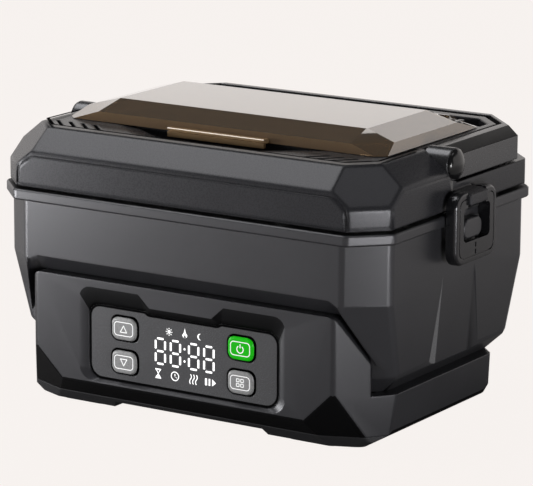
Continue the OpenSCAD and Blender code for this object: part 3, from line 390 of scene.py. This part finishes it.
def crescent(radius):
    """Folds one side of a disc in, so that a sickle is left."""
    fold = 0.25 * radius

    def shape(px, pz):
        return (2 * fold - px if px > fold else px), pz

    return shape


def draw_sun(bm, x, z):
    disc(bm, x, z, 0.95)
    for i in range(8):
        a = radians(45 * i)
        ray = [(1.45, -0.22), (2.15, -0.22), (2.15, 0.22), (1.45, 0.22)]
        flat_polygon(bm, [(x + r * cos(a) - t * sin(a), z + r * sin(a) + t * cos(a)) for r, t in ray])


def heat_wave(bm, x, z):
    """S-shaped wave of two arcs, one above the other."""
    radius, half = 1.9, 45
    for side in (-1, 1):
        middle = 180 if side < 0 else 0
        arc_band(
            bm, x + side * radius * cos(radians(half)) * -1, z + side * radius * sin(radians(half)),
            radius, 0.55, middle - half, 2 * half, 8,
        )


ICONS_TOP = DIGITS_Z + 11.6
ICONS_LOW = DIGITS_Z - 12.6


def draw_icons(bm):
    mid, top, low = DIGITS_X, ICONS_TOP, ICONS_LOW
    draw_sun(bm, mid - 9.9, top)
    disc(bm, mid + 0.3, top - 0.4, 1.6, teardrop(1.6))
    disc(bm, mid + 10.2, top, 1.8, crescent(1.8))

    # Hourglass
    x = mid - 17
    bar(bm, x, low + 2.5, 3.8, 0.45, 0.2)
    frame_line(bm, [(x, low - 0.2), (x + 1.8, low + 2.4), (x - 1.8, low + 2.4)], 0.2, 0.45)
    flat_polygon(bm, [(x, low + 0.2), (x - 1.8, low - 2.2), (x + 1.8, low - 2.2)], 0.2)
    bar(bm, x, low - 2.5, 3.8, 0.45, 0.2)

    # Clock
    x = mid - 6.1
    arc_band(bm, x, low, 2.4, 0.5, 0, 360, 32)
    bar(bm, x, low + 0.7, 0.45, 1.5, 0.2)
    flat_polygon(bm, [(x - 0.2, low - 0.15), (x + 0.1, low - 0.35), (x + 1.2, low - 1.0), (x + 1.4, low - 0.7)], 0.1)

    for i in (-1, 0, 1):
        heat_wave(bm, mid + 5.9 + 1.9 * i, low)

    # Two bars and an arrow
    x = mid + 14
    bar(bm, x, low, 1.3, 3.9, 0.35)
    bar(bm, x + 2.2, low, 1.0, 3.9, 0.3)
    flat_polygon(bm, [(x + 3.9, low - 2), (x + 6.4, low), (x + 3.9, low + 2)], 0.3)


def draw_flame_heart(bm):
    disc(bm, DIGITS_X + 0.35, ICONS_TOP - 1.3, 0.68, teardrop(0.68))


def draw_panel_gap(bm):
    """Painted shade: a black strip for the shaded gap between the panel and the housing round it, along the panel's
    visible outline.
    """
    low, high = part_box("control_panel")
    lap = 2
    half, bottom, top = high.x / MM - lap, low.z / MM + lap, high.z / MM - lap
    right = [(half, bottom), (half, top), (24.5, top), (22.3, top - 1.4)]
    corners = right + [(-x, z) for x, z in reversed(right)]
    frame_line(bm, corners, [8, 7, 1, 0.8, 0.8, 1, 7, 8], 1.3)


def draw_lid_joint_shade(bm):
    """Painted shade: a black strip for the shaded joint round the front of the lid's flat top, drawn from above: X,
    and Y in place of Z.
    """
    path = [(107.3, -20), (107.3, -59.1), (93.7, -72.7)]
    corners = path + [(-x, y) for x, y in reversed(path)]
    inner = [(105.4, -20), (105.4, -58.3), (92.9, -70.8)]
    corners += [(-x, y) for x, y in inner] + list(reversed(inner))
    flat_polygon(bm, corners)


KEY_RING_W = 12.6
KEY_RING_H = 7.9


def key_print(node, sign):
    """White ring and sign on a keycap, drawn round its middle, with a painted glow."""
    low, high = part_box(node)
    x, z = (low.x + high.x) / 2 / MM, (low.z + high.z) / 2 / MM

    def draw(bm):
        frame_line(bm, box_corners(x, z, KEY_RING_W, KEY_RING_H), 2.2, 0.5)
        sign(bm, x, z)

    inlay(node + "_print", key_print_painted_glow, node, (0, low.y, 0), draw, 0.05)


def sign_up(bm, x, z):
    frame_line(bm, [(x - 2.6, z - 2.1), (x + 2.6, z - 2.1), (x, z + 2.4)], 0.5, 0.55)


def sign_down(bm, x, z):
    frame_line(bm, [(x - 2.6, z + 2.1), (x, z - 2.4), (x + 2.6, z + 2.1)], 0.5, 0.55)


def sign_power(bm, x, z):
    arc_band(bm, x, z - 0.3, 2.0, 0.6, 125, 290, 24)
    bar(bm, x, z + 1.5, 0.6, 2.2, 0.25)


def sign_menu(bm, x, z):
    for sx in (-1, 1):
        for sz in (-1, 1):
            frame_line(bm, box_corners(x + sx * 1.35, z + sz * 1.3, 2.2, 2.1), 0.4, 0.5)


# ---- scene ----

PAPER = (0.93, 0.888, 0.863)
PAPER_GLOW = 1.055


def scaled(tree, value, factor, plus=0.0):
    """value times factor plus another value or number, kept between 0 and 1."""
    node = tree.nodes.new("ShaderNodeMath")
    node.operation = "MULTIPLY_ADD"
    node.use_clamp = True
    for socket, given in zip(node.inputs, (value, factor, plus)):
        if isinstance(given, (int, float)):
            socket.default_value = given
        else:
            tree.links.new(given, socket)
    return node.outputs[0]


def stage_paper(name, lit, seen, mirrored, near=0.0, far=0.0):
    """Pale paper. The camera sees mostly its plain colour, and surfaces mirror that colour in part.

    From near to far, measured from the object, the mirrored share rises from none, which paints shade into the
    floor's mirror image near the object."""
    material, tree, shader = new_material(name)
    shader.inputs["Base Color"].default_value = (*[c * lit for c in PAPER], 1)
    shader.inputs["Roughness"].default_value = 0.9
    glow = tree.nodes.new("ShaderNodeEmission")
    glow.inputs["Color"].default_value = (*PAPER, 1)
    glow.inputs["Strength"].default_value = PAPER_GLOW
    path = tree.nodes.new("ShaderNodeLightPath")
    reflected = scaled(tree, path.outputs["Is Glossy Ray"], mirrored)
    # Painted shade: near the object the floor is mirrored darker, standing in for its shadow and occlusion
    if far:
        coords = tree.nodes.new("ShaderNodeTexCoord")
        length = tree.nodes.new("ShaderNodeVectorMath")
        length.operation = "LENGTH"
        tree.links.new(coords.outputs["Object"], length.inputs[0])
        reflected = scaled(tree, reflected, remap(tree, length.outputs["Value"], 0, 1, (near, far)))
    through = scaled(tree, path.outputs["Is Transmission Ray"], mirrored, reflected)
    share = scaled(tree, path.outputs["Is Camera Ray"], seen, through)
    mix = tree.nodes.new("ShaderNodeMixShader")
    tree.links.new(share, mix.inputs["Fac"])
    tree.links.new(shader.outputs[0], mix.inputs[1])
    tree.links.new(glow.outputs[0], mix.inputs[2])
    tree.links.new(mix.outputs[0], tree.nodes["Material Output"].inputs["Surface"])
    return material


WALL_RADIUS = 3.4
WALL_HEIGHT = 1.78


def make_stage():
    """Pale floor, and a pale wall round the back half of it, high enough to be mirrored in the flat tops."""
    world = bpy.data.worlds.new("world")
    bpy.context.scene.world = world
    world.use_nodes = True
    world.node_tree.nodes["Background"].inputs["Color"].default_value = (0.06, 0.06, 0.062, 1)

    floor_mesh = bpy.data.meshes.new("floor")
    bm = bmesh.new()
    bmesh.ops.create_circle(bm, cap_ends=True, segments=96, radius=WALL_RADIUS)
    bm.to_mesh(floor_mesh)
    bm.free()
    floor_mesh.materials.append(stage_paper("floor_paper", 0.2, 0.94, 0.86, 0.1, 1.1))

    wall_mesh = bpy.data.meshes.new("wall")
    bm = bmesh.new()
    foot = bm.verts.new((WALL_RADIUS, 0, 0))
    head = bm.verts.new((WALL_RADIUS, 0, WALL_HEIGHT))
    edge = bm.edges.new((foot, head))
    bmesh.ops.spin(bm, geom=[foot, head, edge], cent=(0, 0, 0), axis=(0, 0, 1), angle=pi, steps=48)
    bm.to_mesh(wall_mesh)
    bm.free()
    wall_mesh.materials.append(stage_paper("wall_paper", 0.35, 1, 1))

    for name, mesh in (("floor", floor_mesh), ("wall", wall_mesh)):
        piece = bpy.data.objects.new(name, mesh)
        bpy.context.scene.collection.objects.link(piece)


def soft_box(name, place, size, power, target=(0, 0, 0.08)):
    data = bpy.data.lights.new(name, "AREA")
    data.shape = "RECTANGLE"
    data.size, data.size_y = size
    data.energy = power
    light = bpy.data.objects.new(name, data)
    light.location = place
    light.rotation_euler = (Vector(target) - Vector(place)).to_track_quat("-Z", "Y").to_euler()
    bpy.context.scene.collection.objects.link(light)


bpy.context.scene.view_settings.view_transform = "Standard"

shell_black = moulded_black("shell_black", (0.026, 0.026, 0.029), 0.33, 0.00001, 1.56)
lid_black = moulded_black("lid_black", (0.025, 0.025, 0.028), 0.28, 0.000004, 1.33, 0.0018)
handle_black = moulded_black("handle_black", (0.026, 0.026, 0.0275), 0.26, 0.000004, 1.6)
latch_black = moulded_black("latch_black", (0.009, 0.009, 0.01), 0.2, 0.0000003, 1.56, 0.0003)
panel_black = moulded_black("panel_black", (0.082, 0.082, 0.086), 0.26, 0.00001, edge_radius=0.0004)
# Painted shade: a darker copy of the shell plastic for the bottom cover, which lies in shade underneath
under_painted_shade = moulded_black("under_painted_shade", (0.012, 0.012, 0.013), 0.6, 0.00003)
# Painted shade: near-black for faces that look down into shade and for the handle's upper chamfer, darker than the
# plastic they belong to
painted_shade_black = moulded_black("painted_shade_black", (0.003, 0.003, 0.0033), 0.45, 0.00002, 1.2)
# Painted shade: near-black that hardly reflects, for gaps and joints lying in shade: the panel's outline, the lid's
# top joint and the keys' sides in their holes
gap_painted_shade = moulded_black("gap_painted_shade", (0.003, 0.003, 0.0032), 0.8, 0.00001, 1.05, 0.0001)
# Painted shade: a darker copy of the shell plastic for the rim's top face, standing in for the shade under the lid's
# edge
rim_painted_shade = moulded_black("rim_painted_shade", (0.012, 0.012, 0.013), 0.5, 0.00001, 1.35)
# Painted highlight: a lighter copy of the black plastic that stands in for the reflection the front flank of each
# side rib catches
rib_flank_painted_highlight = moulded_black("rib_flank_painted_highlight", (0.16, 0.16, 0.166), 0.3, 0.000004)
field_black = moulded_black("field_black", (0.05, 0.05, 0.053), 0.34, 0.00001)
cap_gloss = plain_finish("cap_gloss", (0.008, 0.008, 0.0085), 0.16, spread=0.02)
key_grey = plain_finish("key_grey", (0.29, 0.29, 0.293), 0.3, scale=800)
# Painted glow: the key prints glow though no light is behind them
key_print_painted_glow = glowing_white("key_print_painted_glow", 0.3, 0.36)
key_green = green_key_painted_glow()
segment_white = glowing_white("segment_white", 0.78, 0.9)
smoke_clear = tinted_clear("smoke_clear", (0.31, 0.21, 0.12), 0.72)
# Painted light: lighter, less clear copies of the same smoked plastic for the cover's lip and front tab, standing in
# for light caught in the thick plastic there
smoke_lip_painted_light = tinted_clear("smoke_lip_painted_light", (0.24, 0.158, 0.09), 0.35)
smoke_tab_painted_light = tinted_clear("smoke_tab_painted_light", (0.52, 0.34, 0.175), 0.15)
zinc = plain_finish("zinc", (0.62, 0.63, 0.65), 0.32, metallic=1, scale=900)
brass = plain_finish("brass", (0.75, 0.6, 0.32), 0.25, metallic=1, scale=900)
brushed_steel = plain_finish(
    "brushed_steel", (0.66, 0.66, 0.67), 0.27, metallic=1, scale=60, spread=0.1, stretch=(1, 40, 40)
)
drawn_aluminium = plain_finish(
    "drawn_aluminium", (0.72, 0.73, 0.74), 0.36, metallic=1, scale=60, spread=0.08, stretch=(1, 30, 30)
)
cast_aluminium = plain_finish("cast_aluminium", (0.6, 0.6, 0.61), 0.55, metallic=1, scale=500, spread=0.12)
sheathed_steel = plain_finish("sheathed_steel", (0.3, 0.3, 0.3), 0.45, metallic=1, scale=400)
silicone = plain_finish("silicone", (0.74, 0.74, 0.71), 0.5, scale=120)
grey_plastic = plain_finish("grey_plastic", (0.3, 0.31, 0.32), 0.45, scale=700)
inner_black = moulded_black("inner_black", (0.05, 0.05, 0.052), 0.5, 0.00002)
foot_rubber = moulded_black("foot_rubber", (0.015, 0.015, 0.015), 0.8, 0.00004)
key_rubber = plain_finish("key_rubber", (0.3, 0.31, 0.32), 0.6)
board_green = plain_finish("board_green", (0.02, 0.14, 0.06), 0.4, scale=350)
display_glass = plain_finish("display_glass", (0.01, 0.01, 0.012), 0.1)
relay_blue = plain_finish("relay_blue", (0.02, 0.06, 0.3), 0.35)
can_black = plain_finish("can_black", (0.05, 0.06, 0.08), 0.3)
winding_tape = plain_finish("winding_tape", (0.6, 0.4, 0.08), 0.4, scale=80, stretch=(1, 1, 20))
ceramic = plain_finish("ceramic", (0.75, 0.72, 0.64), 0.6)

make_camera()
make_stage()
soft_box("left_strip", (-0.51, -0.42, 0.1), (0.2, 0.2), 3.6, (-0.03, -0.09, 0.06))
soft_box("right_strip", (0.68, -0.33, 0.085), (0.22, 0.15), 2.5, (0.1, -0.07, 0.06))
soft_box("top_left_box", (-0.9, -0.05, 1.5), (1.1, 1.1), 16)
soft_box("overhead_box", (0.52, -0.06, 1.4), (0.4, 0.4), 0.9)

tub = dressed("tub_shell", shell_black, "base", 0.35)
# Painted highlight on the front flank of each side rib
second_finish(tub, rib_flank_painted_highlight, lambda face: 0.1 < face.normal.y < 0.25 and abs(face.center.x) > 0.115)
# Painted shade on the rim's top face below the lid
second_finish(tub, rim_painted_shade, lambda face: face.normal.z > 0.9 and face.center.z > RIM_Z - 0.002)
base = dressed("base_housing", shell_black, "base", 0.35)
# Painted shade on the base's downward faces: the bottom band, the undercut and the top of the panel's pocket
second_finish(base, painted_shade_black, lambda face: face.normal.z < -0.12 and (face.center.z < 0.03 or face.center.y < -0.07 and face.center.z < 0.075))
dressed("lid_shell", lid_black, "lid", 0.3)
handle = dressed("carry_handle", handle_black, "handle", 0.4)
# Painted shade on the upper chamfer faces of the handle's arms
second_finish(handle, painted_shade_black, lambda face: 0.3 < face.normal.z < 0.96 and abs(face.normal.x) > 0.3)
dressed("latch_left", latch_black, "latch_left")
dressed("latch_right", latch_black, "latch_right")
dressed("control_panel", panel_black, "base", 0.25)
cover = dressed("top_cover", smoke_clear, "cover", 0.4, min_angle=9)
cover_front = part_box("top_cover")[0].y
cover_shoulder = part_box("top_cover")[1].z - 0.005
# Painted light on the cover's lip band and front tab
second_finish(cover, smoke_lip_painted_light, lambda face: face.center.z < cover_shoulder and 0.2 < face.normal.z < 0.7)
second_finish(cover, smoke_tab_painted_light, lambda face: face.center.y < cover_front + 0.005)
dressed("pivot_caps", cap_gloss, "handle", smooth=50)
for key in ("button_up", "button_down", "button_menu", "button_power"):
    colour = key_green if key == "button_power" else key_grey
    keycap = dressed(key, colour, key, 0.25, min_length=3)
    # Painted shade on the keycap's sides behind the panel face
    second_finish(keycap, gap_painted_shade, lambda face: face.center.y > PANEL_Y)
dressed("food_container", brushed_steel, "container")
dressed("inner_liner", drawn_aluminium, "base")
dressed("container_lid", grey_plastic, "inner_lid")
dressed("lid_inner_panel", inner_black, "lid", 0.3)

# Painted shade on the bottom cover
coat_nodes(under_painted_shade, "bottom_cover")
coat_nodes(foot_rubber, "foot_pads")
coat_nodes(zinc, "bottom_screws", "lid_screws", "cover_hinge_rod", "pivot_pins", "latch_pins", "sensor_spring")
coat_nodes(brass, "inlet_pins")
coat_nodes(inner_black, "power_inlet")
coat_nodes(display_glass, "display_module")
coat_nodes(board_green, "control_board", "power_board")
coat_nodes(key_rubber, "key_mat")
coat_nodes(relay_blue, "relay")
coat_nodes(can_black, "capacitor")
coat_nodes(winding_tape, "transformer")
coat_nodes(cast_aluminium, "heating_plate")
coat_nodes(sheathed_steel, "heating_element")
coat_nodes(ceramic, "thermal_fuse")
coat_nodes(drawn_aluminium, "temperature_sensor")
coat_nodes(silicone, "container_seal", "steam_plug", "lid_seal")

inlay("display_fields", field_black, "base", (0, PANEL_Y, 0), draw_digit_fields, 0.03)
inlay("display_digits", segment_white, "base", (0, PANEL_Y, 0), draw_digits)
inlay("display_icons", segment_white, "base", (0, PANEL_Y, 0), draw_icons)
inlay("flame_heart", field_black, "base", (0, PANEL_Y - 0.08 * MM, 0), draw_flame_heart, 0.04)
# Painted shade line round the panel
inlay("panel_gap_shade", gap_painted_shade, "base", (0, PANEL_Y, 0), draw_panel_gap, 0.02)
lid_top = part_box("lid_shell")[1].z
# Painted shade line round the front of the lid's top
inlay("lid_joint_shade", gap_painted_shade, "lid", (0, 0, lid_top), draw_lid_joint_shade, 0.02, Matrix.Rotation(radians(-90), 3, "X"))
key_print("button_up", sign_up)
key_print("button_down", sign_down)
key_print("button_power", sign_power)
key_print("button_menu", sign_menu)
